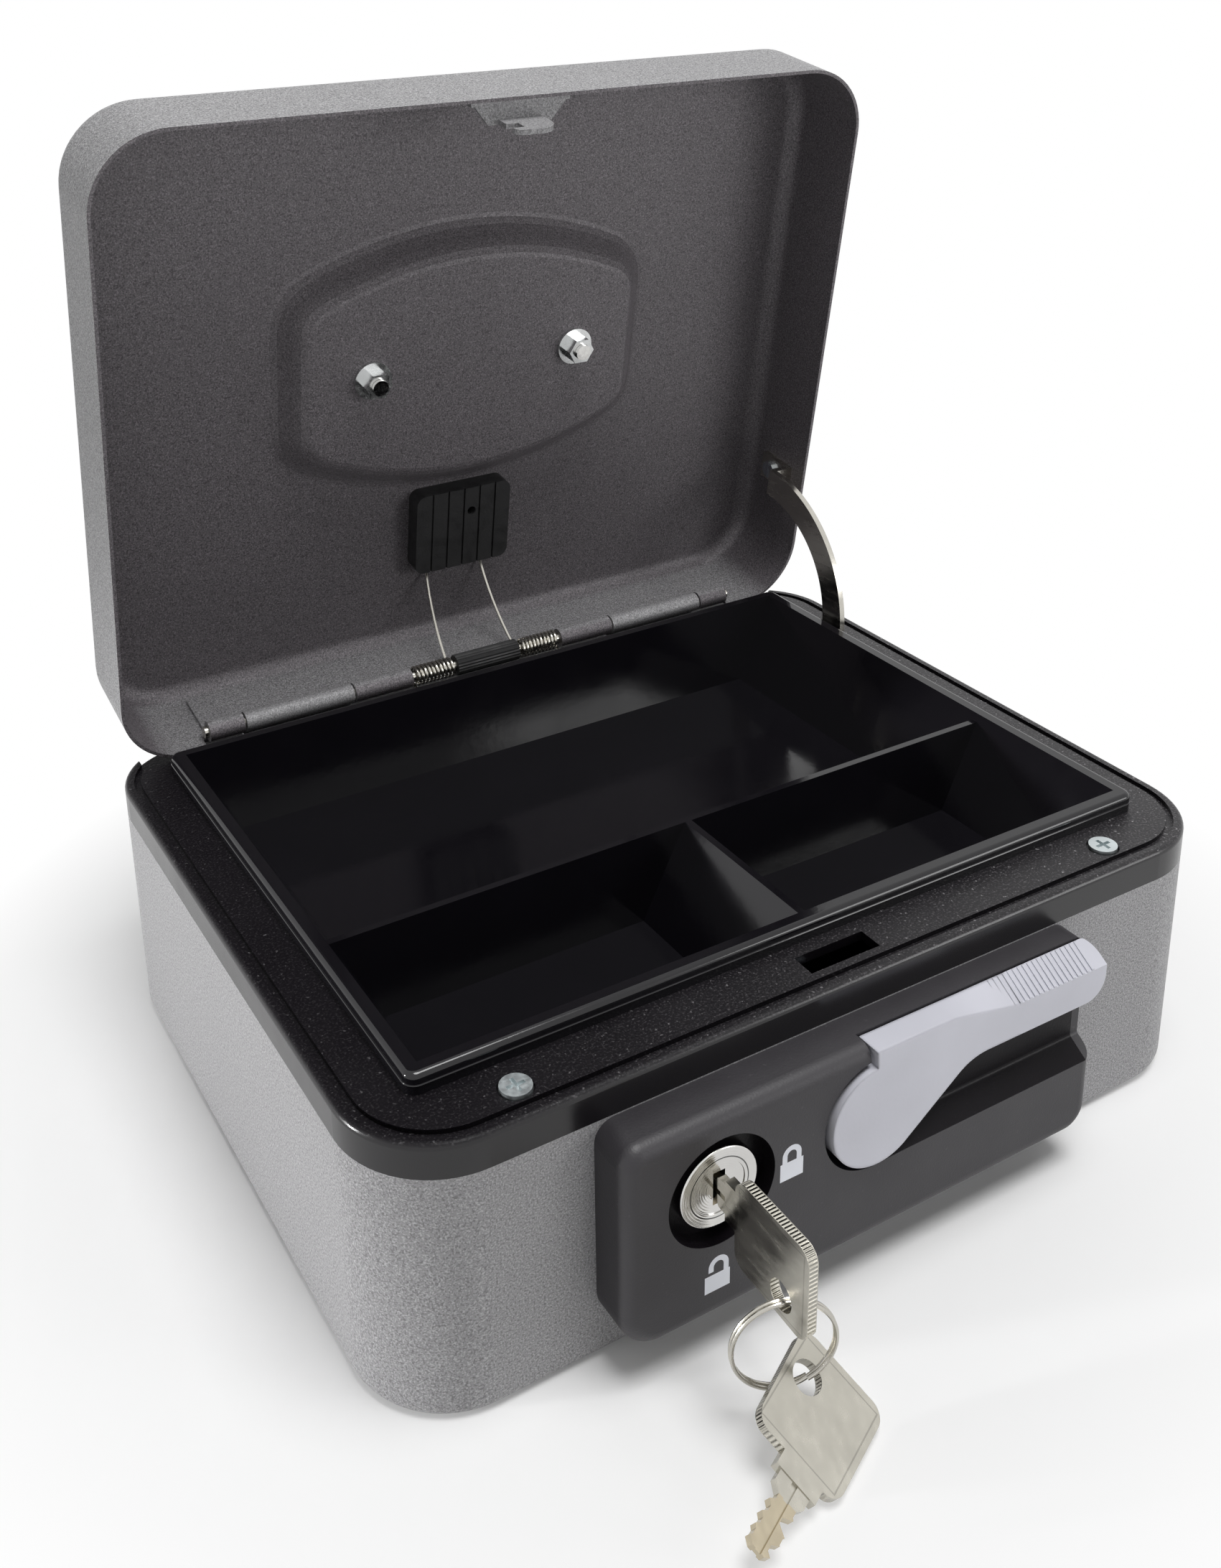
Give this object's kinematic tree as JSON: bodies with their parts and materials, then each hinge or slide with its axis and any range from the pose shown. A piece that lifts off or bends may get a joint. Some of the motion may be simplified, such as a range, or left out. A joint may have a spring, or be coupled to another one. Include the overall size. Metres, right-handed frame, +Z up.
{
  "type": "cash box",
  "caption": "Open steel cash box with a lift-out coin tray, a sprung hinged lid with a folding handle, a key lock with its keys and a thumb lever that frees the latch.",
  "frame": {"origin": "middle of the body's underside", "axes": "+Z up, -Y towards the lock and lever, +X to the right seen from the front; the lid stands open"},
  "size_m": [0.2, 0.2253, 0.215],
  "materials": {
    "grey_paint": "silver-grey powder coat with a fine texture",
    "frame_black": "fine-grained black",
    "tray_black": "glossy black",
    "lever_grey": "satin pale grey",
    "chrome": "polished",
    "nickel": "bright nickel plate",
    "zinc": "bluish zinc plate",
    "rubber": "matt black"
  },
  "bodies": {
    "box": {"body_shell": "grey_paint", "top_frame": "frame_black", "frame_screws": "zinc", "body_hinge_leaf": "grey_paint", "hinge_rivets": "zinc", "hinge_pin": "nickel", "spring_sleeve": "rubber", "lock_housing": "frame_black", "housing_screws": "zinc", "lock_cylinder": "chrome", "lock_nut": "zinc", "latch_guide": "frame_black"},
    "lid": {"lid_shell": "grey_paint", "lid_hinge_leaf": "grey_paint", "latch_hook": "grey_paint", "lid_stay": "nickel", "stay_rivet": "zinc", "handle_lugs": "zinc", "flange_nuts": "zinc", "lift_pad": "rubber", "lift_springs": "nickel"},
    "tray": {"cash_tray": "tray_black"},
    "handle": {"handle_bail": "chrome"},
    "lever": {"release_lever": "lever_grey", "lever_crank": "zinc", "lever_screw": "zinc"},
    "slide": {"latch_slide": "zinc", "latch_spring": "zinc"},
    "plug": {"lock_plug": "chrome", "lock_cam": "zinc", "cam_screw": "zinc"},
    "key": {"key_in_lock": "nickel"},
    "ring": {"key_ring": "nickel"},
    "spare": {"spare_key": "nickel"}
  },
  "joints": [
    {"name": "lid_hinge", "type": "hinge", "parent": "box", "child": "lid", "pos_m": [0, 0.0741, 0.0628], "axis": [1, 0, 0], "range_deg": [0, 80], "stiffness_Nm_per_rad": 0.17, "springref_deg": -20.05, "deforming": ["lift_springs"]},
    {"name": "tray_lift", "type": "slide", "parent": "box", "child": "tray", "axis": [0, 0, -1], "range_m": [-0.06, 0]},
    {"name": "handle_fold", "type": "hinge", "parent": "lid", "child": "handle", "pos_m": [0, 0.07831, 0.14488], "axis": [1, 0, 0], "range_deg": [0, 90]},
    {"name": "lever_press", "type": "hinge", "parent": "box", "child": "lever", "pos_m": [-0.0046, -0.0886, 0.0376], "axis": [0, -1, 0], "range_deg": [-12, 0], "stiffness_Nm_per_rad": 0.3, "springref_deg": 11.46},
    {"name": "latch_slide_move", "type": "slide", "parent": "box", "child": "slide", "axis": [-1, 0, 0], "range_m": [0, 0.0027], "deforming": ["latch_spring"]},
    {"name": "key_turn", "type": "hinge", "parent": "box", "child": "plug", "pos_m": [-0.0396, -0.0889, 0.0363], "axis": [0, -1, 0], "range_deg": [0, 90]},
    {"name": "key_pull", "type": "slide", "parent": "plug", "child": "key", "axis": [0, -1, 0], "range_m": [0, 0.03]},
    {"name": "ring_swing", "type": "hinge", "parent": "key", "child": "ring", "pos_m": [-0.0396, -0.1083, 0.0275], "axis": [1, 0, 0], "range_deg": [-25, 0]},
    {"name": "spare_key_swing", "type": "hinge", "parent": "ring", "child": "spare", "pos_m": [-0.03573, -0.10971, 0.0097], "axis": [0, 0, 1], "range_deg": [-8, 8]}
  ],
  "couplings": [
    {"joint": "latch_slide_move", "follows": "lever_press", "m_per_rad": -0.012}
  ]
}
